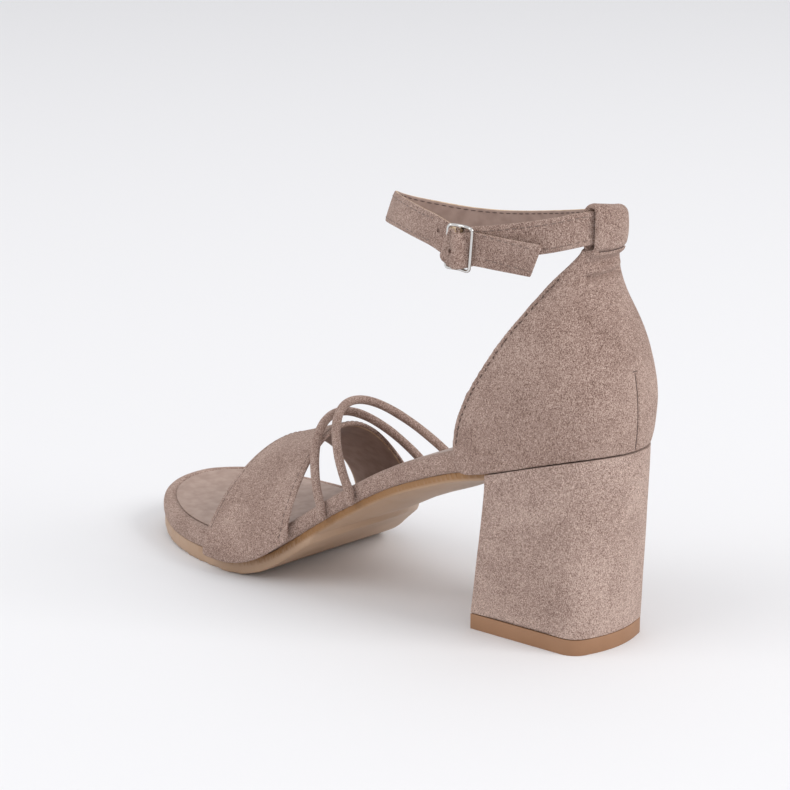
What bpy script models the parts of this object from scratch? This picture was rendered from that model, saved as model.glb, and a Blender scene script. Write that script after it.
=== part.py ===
"""Block heel ankle-strap sandal, a left shoe, standing empty on its heel and forepart.

Frame: metres, +Z up, toe towards -Y, the outer (lateral) side towards +X.
The origin is the centre of the heel lift's floor face.
"""
import math

import bmesh
import bpy
import numpy as np

# Driving sizes of the sole
FOOT_LENGTH = 0.2242        # footbed, heel to toe tip, measured level
FOOTBED_BACK = 0.0272       # footbed's back edge behind the origin
BALL_WIDTH = 0.0795
SEAT_HEIGHT = 0.0703        # underside of the footbed at the back of the heel
FOOTBED_THICKNESS = 0.0085
RIM_ROUND = 0.0030          # rounding of the wrapped footbed edge
SOCK_INSET = 0.0048         # recess edge, in from the footbed edge
SOCK_THICKNESS = 0.0011
RECESS_DEPTH = 0.0011
OUTSOLE_THICKNESS = 0.0022
OUTSOLE_INSET = 0.0008
TREAD_THICKNESS = 0.0025    # extra layer under the forepart
WAIST_CROWN = 0.0055        # belly of the outsole between heel and ball
TOE_SPRING = 0.0046
CLEARANCE = 0.0003          # gap between pieces that touch

# Driving sizes of the heel
LIFT_WIDTH = 0.0446
LIFT_LENGTH = 0.0486
LIFT_THICKNESS = 0.0056
LIFT_CORNER = 0.0079
LIFT_REAR_BULGE = 0.0022
LIFT_TAPER = 0.0024
BREAST_HOLLOW = 0.0027
BREAST_Y = -0.0115          # top of the heel breast
BREAST_UPRIGHT = 0.91       # share of the heel's height above which its breast stands upright

# Driving sizes of the upper
WALL = 0.0019               # heel counter, suede and lining together
COUNTER_RISE = 0.0652       # seat to the start of the tab, at the back
COUNTER_REACH = 0.0577      # back seam to the foremost point of the side edge
COUNTER_BACK = 0.0303       # back seam behind the origin, at its fullest
STRAP_WIDTH = 0.0114
STRAP_THICKNESS = 0.0016
STRAP_TAIL = 0.0265         # free end past the buckle bar
TAIL_DROP = 0.0070          # how far the free end hangs below the loop
TAIL_LIFT = 0.0032          # how far it stands off the loop
TAIL_SLANT = 0.0022         # slant of its cut
ANKLE_LENGTH = 0.0946       # ankle loop, heel tab to front
ANKLE_WIDTH = 0.0560
ANKLE_HEIGHT = 0.1454       # middle of the strap at the tab
TAB_WIDTH = 0.0172
TAB_SLACK = 0.0007          # room in the tab on each side of the strap
TAB_HEADROOM = 0.0022       # tab's top above the strap's upper edge, wall included
TAB_TOP = ANKLE_HEIGHT + STRAP_WIDTH / 2.0 + TAB_HEADROOM
TAB_BEND = 26.0             # forward curve of the tab in plan, per metre
TAB_TILT = 0.13             # rise of the tab's top towards the outer side
CORD_DIAMETER = 0.0037      # round instep straps
VAMP_WALL = 0.0020

# Driving sizes of the buckle
WIRE_RADIUS = 0.00055
BUCKLE_WIDTH = 0.0094
BUCKLE_HEIGHT = 0.0146
BUCKLE_CORNER = 0.0012
BAR_SHARE = 0.9             # centre bar's radius, share of the frame's wire
BUCKLE_BOW = 0.0010         # end bars stand off the centre bar by this
BUCKLE_DROP = 0.0013        # frame's middle below the loop's
BUCKLE_TILT = 4.0           # degrees, the front end higher
LAYER_DROP = 0.0016         # upper layer's middle below the lower one's, behind the bar
LEAD_DROP = 0.35            # share of that drop made before the frame
WRAP_THICKNESS = 0.0007     # strap end skived thin where it turns round the bar
WRAP_WIDTH = 0.90           # width of that end, share of the strap's
WRAP_START = 120.0          # degrees round the bar where it ends
LEAD_SHARE = 2.2            # upper layer starts to rise this many buckle widths ahead
STRAP_STEPS = 44
HUMP_POWER = 1.6            # lower is squarer over the bar

# Footbed outline: share of FOOT_LENGTH from the heel, then lateral and medial
# half widths as shares of BALL_WIDTH
OUTLINE = [
    # share, lateral, medial
    (0.000, 0.000, 0.000),
    (0.006, 0.098, 0.098),
    (0.020, 0.168, 0.168),
    (0.050, 0.245, 0.245),
    (0.100, 0.311, 0.311),
    (0.150, 0.344, 0.344),
    (0.220, 0.358, 0.358),
    (0.300, 0.355, 0.350),
    (0.380, 0.350, 0.322),
    (0.460, 0.366, 0.303),
    (0.540, 0.415, 0.340),
    (0.620, 0.484, 0.415),
    (0.700, 0.522, 0.478),
    (0.780, 0.503, 0.497),
    (0.860, 0.447, 0.472),
    (0.920, 0.365, 0.409),
    (0.960, 0.277, 0.327),
    (0.985, 0.170, 0.214),
    (1.000, -0.025, 0.025),
]

# Arch of the footbed's underside: share of FOOT_LENGTH, share of the rise
ARCH = [
    (0.000, 1.000),
    (0.040, 0.976),
    (0.085, 0.938),
    (0.130, 0.894),
    (0.170, 0.852),
    (0.240, 0.796),
    (0.320, 0.698),
    (0.390, 0.597),
    (0.430, 0.523),
    (0.465, 0.449),
    (0.505, 0.361),
    (0.545, 0.262),
    (0.580, 0.170),
    (0.615, 0.082),
    (0.650, 0.026),
    (0.690, 0.000),
    (1.000, 0.000),
]
TOE_SPRING_START = 0.820

# Outsole rows: share of FOOT_LENGTH, share of the waist crown, share of the
# tread layer, and how far the row bows towards the heel in the middle
OUTSOLE_ROWS = [
    # share, crown, tread, bow
    (0.210, 0.45, 0.0, 0.0),
    (0.250, 0.75, 0.0, 0.0),
    (0.300, 1.00, 0.0, 0.0),
    (0.350, 1.00, 0.0, 0.0),
    (0.400, 1.00, 0.0, 0.1),
    (0.435, 1.00, 0.0, 0.3),
    (0.470, 0.95, 0.0, 0.5),
    (0.505, 0.80, 0.0, 0.8),
    (0.538, 0.60, 0.0, 1.0),
    (0.544, 0.56, 1.0, 1.0),
    (0.565, 0.36, 1.0, 0.9),
    (0.585, 0.22, 1.0, 0.8),
    (0.602, 0.10, 1.0, 0.65),
    (0.620, 0.03, 1.0, 0.5),
    (0.640, 0.0, 1.0, 0.35),
    (0.660, 0.0, 1.0, 0.2),
    (0.680, 0.0, 1.0, 0.1),
    (0.700, 0.0, 1.0, 0.0),
    (0.730, 0.0, 1.0, 0.0),
    (0.780, 0.0, 1.0, 0.0),
    (0.820, 0.0, 1.0, 0.0),
    (0.855, 0.0, 1.0, 0.0),
    (0.890, 0.0, 1.0, 0.0),
    (0.920, 0.0, 1.0, 0.0),
    (0.945, 0.0, 1.0, 0.0),
    (0.965, 0.0, 1.0, 0.0),
    (0.980, 0.0, 1.0, 0.0),
    (0.990, 0.0, 1.0, 0.0),
    (0.997, 0.0, 1.0, 0.0),
]
TREAD_BOW = 0.0120          # how far the tread's rear edge bows to the heel

# Heel counter rows, from the seat up. Back and edge heights are shares of
# COUNTER_RISE, lean and reach are shares of COUNTER_REACH, width is a share
# of the counter's half width, wrap is the part of a quarter turn, and
# fullness squares the row at the heel's corners (2 is an ellipse).
COUNTER_ROWS = [
    # back height, back lean, edge height, edge width, edge reach, wrap, fullness
    (0.000, 0.014, 0.000, 1.000, 0.895, 1.00, 2.20),
    (0.025, 0.012, 0.020, 1.000, 0.955, 1.00, 2.28),
    (0.075, 0.002, 0.060, 1.000, 0.988, 1.00, 2.45),
    (0.135, 0.000, 0.125, 1.000, 0.998, 1.00, 2.55),
    (0.210, 0.000, 0.205, 1.000, 0.970, 1.00, 2.60),
    (0.285, 0.005, 0.290, 0.985, 0.903, 1.00, 2.62),
    (0.380, 0.022, 0.390, 0.947, 0.815, 1.00, 2.55),
    (0.485, 0.047, 0.495, 0.907, 0.740, 1.00, 2.40),
    (0.600, 0.087, 0.605, 0.842, 0.662, 1.00, 2.22),
    (0.700, 0.143, 0.700, 0.743, 0.590, 1.00, 2.10),
    (0.800, 0.204, 0.800, 0.628, 0.512, 0.95, 2.00),
    (0.900, 0.246, 0.900, 0.522, 0.432, 0.85, 2.00),
    (0.985, 0.260, 0.985, 0.415, 0.338, 0.60, 2.00),
    (1.035, 0.272, 1.035, 0.300, 0.298, 0.45, 2.00),
]

# Ankle strap route, once round from the tab along the outer side. Side is a
# share of ANKLE_WIDTH, forward of the tab a share of ANKLE_LENGTH, and drop a
# share of STRAP_WIDTH. Lean is how far the lower edge leans outward.
ANKLE_ROUTE = [
    # side, forward, drop, lean
    (0.000, 0.000, 0.00, 0.00),
    (0.161, 0.019, -0.05, 0.00),
    (0.248, 0.052, 0.03, 0.00),
    (0.345, 0.129, 0.20, 0.00),
    (0.464, 0.315, 0.49, 0.00),
    (0.510, 0.424, 0.56, 0.00),
    (0.517, 0.485, 0.41, 0.00),
    (0.512, 0.545, 0.32, 0.00),
    (0.492, 0.622, 0.27, 0.00),
    (0.405, 0.782, 0.12, 0.10),
    (0.220, 0.932, 0.20, 0.33),
    (-0.010, 1.010, 0.53, 0.27),
    (-0.225, 0.952, 0.83, 0.10),
    (-0.385, 0.835, 1.03, 0.04),
    (-0.470, 0.674, 1.02, 0.00),
    (-0.485, 0.463, 0.80, 0.00),
    (-0.429, 0.271, 0.52, 0.00),
    (-0.325, 0.129, 0.30, 0.00),
    (-0.245, 0.052, 0.18, 0.00),
    (-0.161, 0.019, 0.11, 0.00),
]
# Tab's lower end, where it turns in to the counter: shares of the tab's
# own depth inward, and of STRAP_WIDTH down
TAB_TUCK = [
    (0.12, 0.07),
    (0.50, 0.15),
    (0.86, 0.20),
]
BUCKLE_AT = 0.217           # share of the loop from the tab to the buckle bar
HEEL_STATION = 0.22         # share of FOOT_LENGTH where the seat is widest

# Straps over the foot: where each edge leaves the sole as shares of
# FOOT_LENGTH, the crest's place, and its rise above the footbed's underside
ARCHES = {
    # lateral foot, medial foot, crest place, crest rise, roundness
    "instep_strap_rear": (0.455, 0.460, 0.574, 0.0393, 1.64),
    "instep_strap_front": (0.510, 0.517, 0.608, 0.0392, 1.61),
    "vamp_rear_edge": (0.567, 0.575, 0.586, 0.0308, 1.82),
    "vamp_front_edge": (0.745, 0.765, 0.735, 0.0290, 1.50),
}

# Points of a strap beside the footbed's edge, shares of the edge's height
STRAP_LEG = (0.08, 0.55, 1.0)

MATERIALS = {
    # name: colour, roughness, metallic
    "suede": ((0.36, 0.26, 0.22), 0.95, 0.0),
    "suede_heel": ((0.35, 0.25, 0.21), 0.95, 0.0),
    "sock": ((0.42, 0.31, 0.25), 0.55, 0.0),
    "outsole": ((0.52, 0.32, 0.17), 0.50, 0.0),
    "lift": ((0.36, 0.19, 0.10), 0.60, 0.0),
    "nickel": ((0.75, 0.75, 0.76), 0.15, 1.0),
}


def clear_scene():
    """Remove the scene's objects and make the two collections."""
    for item in list(bpy.data.objects):
        bpy.data.objects.remove(item, do_unlink=True)
    made = []
    for name in ("block_heel_sandal", "cutters"):
        collection = bpy.data.collections.new(name)
        bpy.context.scene.collection.children.link(collection)
        made.append(collection)
    return made


def material(name):
    """Give the named plain material, made once."""
    found = bpy.data.materials.get(name)
    if found:
        return found
    colour, roughness, metallic = MATERIALS[name]
    made = bpy.data.materials.new(name)
    made.use_nodes = True
    shader = made.node_tree.nodes["Principled BSDF"]
    shader.inputs["Base Color"].default_value = (*colour, 1.0)
    shader.inputs["Roughness"].default_value = roughness
    shader.inputs["Metallic"].default_value = metallic
    return made


def smooth(table, column, share):
    """Read a column of a table at a share, with a curve that never overshoots."""
    xs = [row[0] for row in table]
    ys = [row[column] for row in table]
    steps = [(ys[i + 1] - ys[i]) / (xs[i + 1] - xs[i]) for i in range(len(xs) - 1)]
    share = min(max(share, xs[0]), xs[-1])
    index = max(i for i in range(len(steps)) if share >= xs[i] or i == 0)

    def slope(i):
        if i == 0 or i == len(xs) - 1:
            return steps[min(i, len(steps) - 1)]
        before, after = steps[i - 1], steps[i]
        if before * after <= 0.0:
            return 0.0
        return 2.0 * before * after / (before + after)

    width = xs[index + 1] - xs[index]
    t = (share - xs[index]) / width
    rise = ys[index + 1] - ys[index]
    start = slope(index) * width
    end = slope(index + 1) * width
    return ys[index] + t * start + t * t * (3 * rise - 2 * start - end) + t ** 3 * (start + end - 2 * rise)


def turn(share):
    """Angle that spreads shares of a length like a half turn, dense at both ends."""
    return math.acos(1.0 - 2.0 * min(max(share, 0.0), 1.0))


OUTLINE_BY_TURN = [(turn(row[0]), row[1], row[2]) for row in OUTLINE]


def share_of(y):
    """Share of the footbed's length at a place along the foot."""
    return (FOOTBED_BACK - y) / FOOT_LENGTH


def place(share):
    """Place along the foot at a share of the footbed's length."""
    return FOOTBED_BACK - share * FOOT_LENGTH


def half_width(y, side):
    """Footbed half width on the lateral (+1) or medial (-1) side."""
    column = 1 if side > 0 else 2
    return smooth(OUTLINE_BY_TURN, column, turn(share_of(y))) * BALL_WIDTH


def underside(y):
    """Height of the footbed's underside along the foot."""
    share = share_of(y)
    flat = CLEARANCE + OUTSOLE_THICKNESS + TREAD_THICKNESS
    rise = smooth(ARCH, 1, share) * (SEAT_HEIGHT - flat)
    spring = max(share - TOE_SPRING_START, 0.0) / (1.0 - TOE_SPRING_START)
    return flat + rise + TOE_SPRING * spring ** 2


def finish(name, mesh, collection, slot):
    """Link a mesh as a smooth-shaded object with its material."""
    mesh.materials.append(material(slot))
    mesh.shade_smooth()
    mesh.set_sharp_from_angle(angle=math.radians(40.0))
    made = bpy.data.objects.new(name, mesh)
    collection.objects.link(made)
    return made


def from_faces(name, points, faces, collection, slot):
    """Close a hand-lofted skin: merge its poles and turn its faces outward."""
    work = bmesh.new()
    made = [work.verts.new(point) for point in points]
    for face in faces:
        corners = list(dict.fromkeys(face))
        if len(corners) > 2:
            work.faces.new([made[i] for i in corners])
    bmesh.ops.remove_doubles(work, verts=work.verts, dist=1e-6)
    bmesh.ops.triangulate(work, faces=[f for f in work.faces if len(f.verts) > 4])
    bmesh.ops.recalc_face_normals(work, faces=work.faces)
    mesh = bpy.data.meshes.new(name)
    work.to_mesh(mesh)
    work.free()
    return finish(name, mesh, collection, slot)


def offset_ring(ring, distance):
    """Move a closed plan ring outward by a distance, along its own normals."""
    ring = np.asarray(ring)
    along = np.roll(ring, -1, axis=0) - np.roll(ring, 1, axis=0)
    normal = np.stack([-along[:, 1], along[:, 0]], axis=1)
    normal /= np.linalg.norm(normal, axis=1)[:, None]
    return ring + normal * distance


def footbed_ring(stations):
    """Plan ring of the footbed: heel tip, lateral side, toe tip, medial side."""
    turns = [math.pi * step / stations for step in range(stations + 1)]
    places = [place((1.0 - math.cos(angle)) / 2.0) for angle in turns]
    lateral = [(half_width(y, 1), y) for y in places]
    medial = [(-half_width(y, -1), y) for y in places]
    return np.array(lateral + medial[-2:0:-1])


def ladder(points, faces, start, count, level, across):
    """Cap a ring with rungs across the foot, so the cap follows the arch."""
    half = count // 2
    rows = []
    for step in range(1, half):
        left = start + step
        right = start + count - step
        row = [left]
        for rung in range(1, across):
            t = rung / across
            x = points[left][0] * (1 - t) + points[right][0] * t
            y = points[left][1] * (1 - t) + points[right][1] * t
            points.append((x, y, level(x, y)))
            row.append(len(points) - 1)
        row.append(right)
        rows.append(row)
    for row, other in zip(rows, rows[1:]):
        for i in range(across):
            faces.append((row[i], row[i + 1], other[i + 1], other[i]))
    for tip, row in ((start, rows[0]), (start + half, rows[-1])):
        for i in range(across):
            faces.append((tip, row[i], row[i + 1]))


def plate(name, levels, stations, across, collection, slot):
    """Loft a plate from rings given as (inset, height above the underside)."""
    ring = footbed_ring(stations)
    count = len(ring)
    points = []
    faces = []
    for inset, height in levels:
        for x, y in offset_ring(ring, -inset):
            points.append((x, y, underside(y) + height))
    for level in range(len(levels) - 1):
        for i in range(count):
            j = (i + 1) % count
            base = level * count
            faces.append((base + i, base + j, base + count + j, base + count + i))
    low, high = levels[0][1], levels[-1][1]
    ladder(points, faces, 0, count, lambda x, y: underside(y) + low, across)
    last = (len(levels) - 1) * count
    ladder(points, faces, last, count, lambda x, y: underside(y) + high, across)
    return from_faces(name, points, faces, collection, slot)


def make_footbed(collection):
    """Suede-wrapped board with a rounded rim and a shallow recess for the sock."""
    top = FOOTBED_THICKNESS
    levels = [
        (RIM_ROUND * 0.5, 0.0),
        (0.0, RIM_ROUND * 0.5),
        (0.0, top - RIM_ROUND),
        (RIM_ROUND * 0.3, top - RIM_ROUND * 0.3),
        (RIM_ROUND, top),
        (SOCK_INSET - CLEARANCE, top),
        (SOCK_INSET, top - RECESS_DEPTH),
    ]
    return plate("footbed", levels, 36, 2, collection, "suede")


def make_insole(collection):
    """Thin sock that lies in the footbed's recess."""
    inset = SOCK_INSET + CLEARANCE
    low = FOOTBED_THICKNESS - RECESS_DEPTH + CLEARANCE
    levels = [
        (inset, low),
        (inset, low + SOCK_THICKNESS * 0.7),
        (inset + SOCK_THICKNESS * 0.5, low + SOCK_THICKNESS),
    ]
    return plate("insole", levels, 36, 2, collection, "sock")


def make_outsole(collection):
    """Thin sole with a crowned waist and a stepped forepart tread."""
    across = 8
    points = []
    faces = []
    first_share = share_of(BREAST_Y - CLEARANCE)
    for share, crown, tread, bow in OUTSOLE_ROWS:
        share = first_share if share == OUTSOLE_ROWS[0][0] else share
        bottom = []
        top = []
        for step in range(across + 1):
            t = step / across * 2.0 - 1.0
            y = place(share) + TREAD_BOW * bow * (1.0 - t * t)
            y = max(y, place(1.0) + OUTSOLE_INSET * 1.5)
            middle = (half_width(y, 1) - half_width(y, -1)) / 2.0
            reach = (half_width(y, 1) + half_width(y, -1)) / 2.0 - OUTSOLE_INSET
            x = middle + t * max(reach, 0.0)
            seat = underside(y) - CLEARANCE
            belly = WAIST_CROWN * crown * (1.0 - t * t)
            depth = OUTSOLE_THICKNESS + TREAD_THICKNESS * tread + belly
            bottom.append((x, y, seat - depth))
            top.append((x, y, seat))
        points += bottom + top[::-1]
    ring = 2 * (across + 1)
    rows = len(OUTSOLE_ROWS)
    for row in range(rows - 1):
        for i in range(ring):
            j = (i + 1) % ring
            base = row * ring
            faces.append((base + i, base + j, base + ring + j, base + ring + i))
    for base in (0, (rows - 1) * ring):
        for i in range(across):
            faces.append((base + i, base + i + 1, base + ring - 2 - i, base + ring - 1 - i))
    return from_faces("outsole", points, faces, collection, "outsole")


def lift_half(steps):
    """Half outline of the heel lift, from its front corner to the rear middle."""
    front = -LIFT_LENGTH / 2.0
    rear_half = LIFT_WIDTH / 2.0 - LIFT_TAPER
    side_end = LIFT_LENGTH / 2.0 - LIFT_REAR_BULGE - LIFT_CORNER
    points = []
    for step in range(steps):
        t = step / steps
        points.append((LIFT_WIDTH / 2.0 - LIFT_TAPER * t, front + (side_end - front) * t))
    for step in range(steps):
        angle = math.radians(80.0) * step / (steps - 1)
        points.append((rear_half - LIFT_CORNER + LIFT_CORNER * math.cos(angle),
                       side_end + LIFT_CORNER * math.sin(angle)))
    start_x, start_y = points[-1]
    for step in range(1, steps // 2 + 1):
        x = start_x * (1.0 - step / (steps // 2))
        points.append((x, start_y + (LIFT_LENGTH / 2.0 - start_y) * (1.0 - (x / start_x) ** 2)))
    return points


def seat_half(steps):
    """Half outline of the heel's top, under the counter's outer face."""
    count = len(lift_half(steps))
    _, lean, _, _, reach, _, fullness = COUNTER_ROWS[0]
    square = 2.0 / fullness
    widest = half_width(place(HEEL_STATION), 1) + CLEARANCE + WALL
    back = COUNTER_BACK - lean * COUNTER_REACH
    edge = COUNTER_BACK - reach * COUNTER_REACH
    first = math.acos(((BREAST_Y - edge) / (back - edge)) ** (1.0 / square))
    angles = [first * (1.0 - step / (count - 1)) for step in range(count)]
    return [(widest * math.sin(angle) ** square, edge + (back - edge) * math.cos(angle) ** square)
            for angle in angles]


def heel_ring(half, hollow, breast_steps):
    """Close a half outline into a ring with a hollow breast line."""
    mirrored = [(-x, y) for x, y in half[-2::-1]]
    breast = []
    for step in range(1, breast_steps):
        t = step / breast_steps
        x = -half[0][0] + 2.0 * half[0][0] * t
        breast.append((x, half[0][1] + hollow * 4.0 * t * (1.0 - t)))
    return half + mirrored + breast


def heel_faces(faces, base, half_count, breast_steps):
    """Cap a heel ring with rungs, and its breast line with one strip."""
    full = 2 * half_count - 1
    for i in range(half_count - 1):
        faces.append((base + i, base + i + 1, base + full - 2 - i, base + full - 1 - i))
    breast = [base + full + step for step in range(breast_steps - 1)]
    faces.append(tuple([base, base + full - 1] + breast))


def heel_loft(name, sections, breast_steps, collection, slot):
    """Loft heel sections, each a half outline, a hollow and a height rule."""
    points = []
    faces = []
    half_count = len(sections[0][0])
    for half, hollow, level in sections:
        points += [(x, y, level(y)) for x, y in heel_ring(half, hollow, breast_steps)]
    count = 2 * half_count - 1 + breast_steps - 1
    for section in range(len(sections) - 1):
        for i in range(count):
            j = (i + 1) % count
            base = section * count
            faces.append((base + i, base + j, base + count + j, base + count + i))
    heel_faces(faces, 0, half_count, breast_steps)
    heel_faces(faces, (len(sections) - 1) * count, half_count, breast_steps)
    return from_faces(name, points, faces, collection, slot)


def make_heel_lift(collection):
    """Rubber top piece that stands on the floor."""
    half = lift_half(8)
    sections = [
        (half, BREAST_HOLLOW, lambda y: 0.0),
        (half, BREAST_HOLLOW, lambda y: LIFT_THICKNESS),
    ]
    return heel_loft("heel_lift", sections, 6, collection, "lift")


def make_heel_block(collection):
    """Wrapped block from the lift up to the sloped seat."""
    foot = lift_half(8)
    seat = seat_half(8)
    floor = LIFT_THICKNESS + CLEARANCE
    sections = []
    for share in (0.0, 0.2, 0.4, 0.6, 0.8, BREAST_UPRIGHT, 1.0):
        plan = min(share / BREAST_UPRIGHT, 1.0)
        half = [(a[0] + (b[0] - a[0]) * plan, a[1] + (b[1] - a[1]) * plan)
                for a, b in zip(foot, seat)]

        def level(y, share=share):
            return floor + (underside(y) - CLEARANCE - floor) * share

        sections.append((half, BREAST_HOLLOW * (1.0 - plan), level))
    return heel_loft("heel_block", sections, 6, collection, "suede_heel")


def shell(name, grid, wall, collection, slot):
    """Give an open grid of points (rows by columns) a wall on its inner side."""
    grid = np.asarray(grid)
    rows, columns = grid.shape[:2]
    down = np.gradient(grid, axis=0)
    along = np.gradient(grid, axis=1)
    normal = np.cross(down, along)
    normal /= np.linalg.norm(normal, axis=2)[:, :, None]
    inner = grid - normal * wall
    points = [tuple(p) for p in grid.reshape(-1, 3)] + [tuple(p) for p in inner.reshape(-1, 3)]
    count = rows * columns
    faces = []
    for layer in (0, count):
        for r in range(rows - 1):
            for c in range(columns - 1):
                a = layer + r * columns + c
                faces.append((a, a + 1, a + columns + 1, a + columns))
    for c in range(columns - 1):
        for r in (0, rows - 1):
            a = r * columns + c
            faces.append((a, a + 1, a + 1 + count, a + count))
    for r in range(rows - 1):
        for c in (0, columns - 1):
            a = r * columns + c
            faces.append((a, a + columns, a + columns + count, a + count))
    return from_faces(name, points, faces, collection, slot)


def counter_point(row, t):
    """Point of a counter row, t from -1 at one side edge to +1 at the other."""
    back_height, lean, edge_height, edge_width, reach, wrap, fullness = row
    out = CLEARANCE + WALL
    widest = half_width(place(HEEL_STATION), 1) + out
    back = COUNTER_BACK - lean * COUNTER_REACH
    edge = COUNTER_BACK - reach * COUNTER_REACH
    quarter = math.pi / 2.0 * wrap
    angle = quarter * abs(t)
    square = 2.0 / fullness
    across = math.sin(angle) / math.sin(quarter)
    behind = 1.0 - (1.0 - math.cos(angle)) / (1.0 - math.cos(quarter))
    x = widest * edge_width * across ** square
    y = edge + (back - edge) * max(behind, 0.0) ** square
    seat = underside(y)
    blend = 1.0 - math.cos(math.pi / 2.0 * abs(t))
    height = (back_height * (1.0 - blend) + edge_height * blend) * COUNTER_RISE
    top = SEAT_HEIGHT + back_height * COUNTER_RISE
    level = seat + height
    ease = min(back_height / COUNTER_ROWS[6][0], 1.0)
    ease = ease * ease * (3.0 - 2.0 * ease)
    z = level * (1.0 - ease) + (top + (edge_height - back_height) * COUNTER_RISE * blend) * ease
    return (math.copysign(x, t), y, z)


def tab_bend(x):
    """How far the tab curves forward at its sides, in plan."""
    return -TAB_BEND * x * x


def make_heel_counter(collection, cutters):
    """Hollow heel counter, with its tab folded out and down into a strap loop."""
    columns = [step / 14.0 - 1.0 for step in range(29)]
    rows = [[counter_point(row, t) for t in columns] for row in COUNTER_ROWS]
    tab_face = COUNTER_BACK - COUNTER_ROWS[-1][1] * COUNTER_REACH
    inner_y = tab_face - WALL / 2.0
    outer_y = inner_y + WALL + STRAP_THICKNESS + 2.0 * TAB_SLACK
    start = rows[-1][0][2]
    crown = (outer_y - inner_y) / 2.0
    for height in (0.35, 0.70, 1.0):
        z = start + (TAB_TOP - WALL / 2.0 - crown - start) * height
        half = TAB_WIDTH / 2.0
        tilt = TAB_TILT * half * height
        rows.append([(half * t, tab_face + tab_bend(half * t), z + tilt * t) for t in columns])
    counter = shell("heel_counter", rows, WALL, collection, "suede")

    path = [(inner_y, TAB_TOP - WALL / 2.0 - 2.0 * crown)]
    for step in range(9):
        angle = math.pi * step / 8.0
        path.append((inner_y + crown - crown * math.cos(angle),
                     TAB_TOP - WALL / 2.0 - crown + crown * math.sin(angle)))
    low = ANKLE_HEIGHT - STRAP_WIDTH / 2.0 - 3.0 * CLEARANCE
    path.append((outer_y, (low + TAB_TOP) / 2.0))
    path.append((outer_y, low))
    for inward, down in TAB_TUCK:
        path.append((outer_y - 2.0 * crown * inward, low - STRAP_WIDTH * down))
    fold = make_fold(path, low, cutters)
    union = counter.modifiers.new("fold", "BOOLEAN")
    union.operation = "UNION"
    union.solver = "EXACT"
    union.object = fold
    return counter


def make_fold(path, low, cutters):
    """Closed plate along the tab's fold, later joined to the counter."""
    points = []
    faces = []
    columns = 8
    path = np.asarray(path)
    along = np.gradient(path, axis=0)
    along /= np.linalg.norm(along, axis=1)[:, None]
    half_wall = WALL / 2.0
    half = TAB_WIDTH / 2.0
    for side in (1.0, -1.0):
        for (y, z), (dy, dz) in zip(path, along):
            for column in range(columns + 1):
                x = half * (column / columns * 2.0 - 1.0)
                tilt = TAB_TILT * x * min(max((z - low) / (TAB_TOP - low), 0.0), 1.0)
                points.append((x, y - dz * half_wall * side + tab_bend(x), z + dy * half_wall * side + tilt))
    width = columns + 1
    count = len(path) * width
    for layer in (0, count):
        for r in range(len(path) - 1):
            for c in range(columns):
                a = layer + r * width + c
                faces.append((a, a + 1, a + width + 1, a + width))
    for c in range(columns):
        for r in (0, len(path) - 1):
            a = r * width + c
            faces.append((a, a + 1, a + 1 + count, a + count))
    for r in range(len(path) - 1):
        for c in (0, columns):
            a = r * width + c
            faces.append((a, a + width, a + width + count, a + count))
    fold = from_faces("tab_fold", points, faces, cutters, "suede")
    fold.hide_render = True
    fold.display_type = "WIRE"
    return fold


def closed_curve(points, per_span):
    """Smooth closed curve through the points."""
    points = np.asarray(points)
    count = len(points)
    out = []
    for i in range(count):
        a, b, c, d = (points[(i + k) % count] for k in (-1, 0, 1, 2))
        for step in range(per_span):
            t = step / per_span
            out.append(0.5 * (2 * b + (c - a) * t + (2 * a - 5 * b + 4 * c - d) * t ** 2
                              + (3 * b - a - 3 * c + d) * t ** 3))
    return np.array(out)


def ankle_loop():
    """Ankle route as dense points, with the distance along it at each."""
    tab_y = COUNTER_BACK - COUNTER_ROWS[-1][1] * COUNTER_REACH + TAB_SLACK + STRAP_THICKNESS / 2.0
    places = [(side * ANKLE_WIDTH, tab_y - forward * ANKLE_LENGTH, ANKLE_HEIGHT - drop * STRAP_WIDTH, lean)
              for side, forward, drop, lean in ANKLE_ROUTE]
    dense = closed_curve(places, 24)
    gaps = np.linalg.norm((np.roll(dense, -1, axis=0) - dense)[:, :3], axis=1)
    return dense, np.concatenate([[0.0], np.cumsum(gaps)])


LOOP_POINTS, LOOP_DISTANCE = ankle_loop()
LOOP_LENGTH = float(LOOP_DISTANCE[-1])


def on_loop(distance, outward=0.0, height=0.0):
    """Point beside the ankle loop, and its outward and upward directions."""
    closed = np.vstack([LOOP_POINTS, LOOP_POINTS[:1]])

    def at(value):
        value = value % LOOP_LENGTH
        return np.array([np.interp(value, LOOP_DISTANCE, closed[:, k]) for k in range(4)])

    along = (at(distance + STRAP_THICKNESS) - at(distance - STRAP_THICKNESS))[:3]
    along /= np.linalg.norm(along)
    out = np.cross((0.0, 0.0, 1.0), along)
    out /= np.linalg.norm(out)
    up = np.cross(along, out) - out * at(distance)[3]
    up /= np.linalg.norm(up)
    return at(distance)[:3] + out * outward + up * height, out, up


# Heights off the lower layer at the buckle, and the turn round its bar
TAIL_LEVEL = STRAP_THICKNESS + CLEARANCE
FRAME_LEVEL = TAIL_LEVEL + STRAP_THICKNESS / 2.0 + 1.8 * CLEARANCE + WIRE_RADIUS
BAR_LEVEL = FRAME_LEVEL - BUCKLE_BOW
TURN_RADIUS = WIRE_RADIUS + CLEARANCE + WRAP_THICKNESS / 2.0
OVER_LEVEL = (BAR_LEVEL + TURN_RADIUS + WRAP_THICKNESS / 2.0 + 2.0 * CLEARANCE
              + STRAP_THICKNESS / 2.0)


def ease_in(t):
    """Share that starts and ends gently, for t from 0 to 1."""
    return t * t * (3.0 - 2.0 * t)


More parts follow.
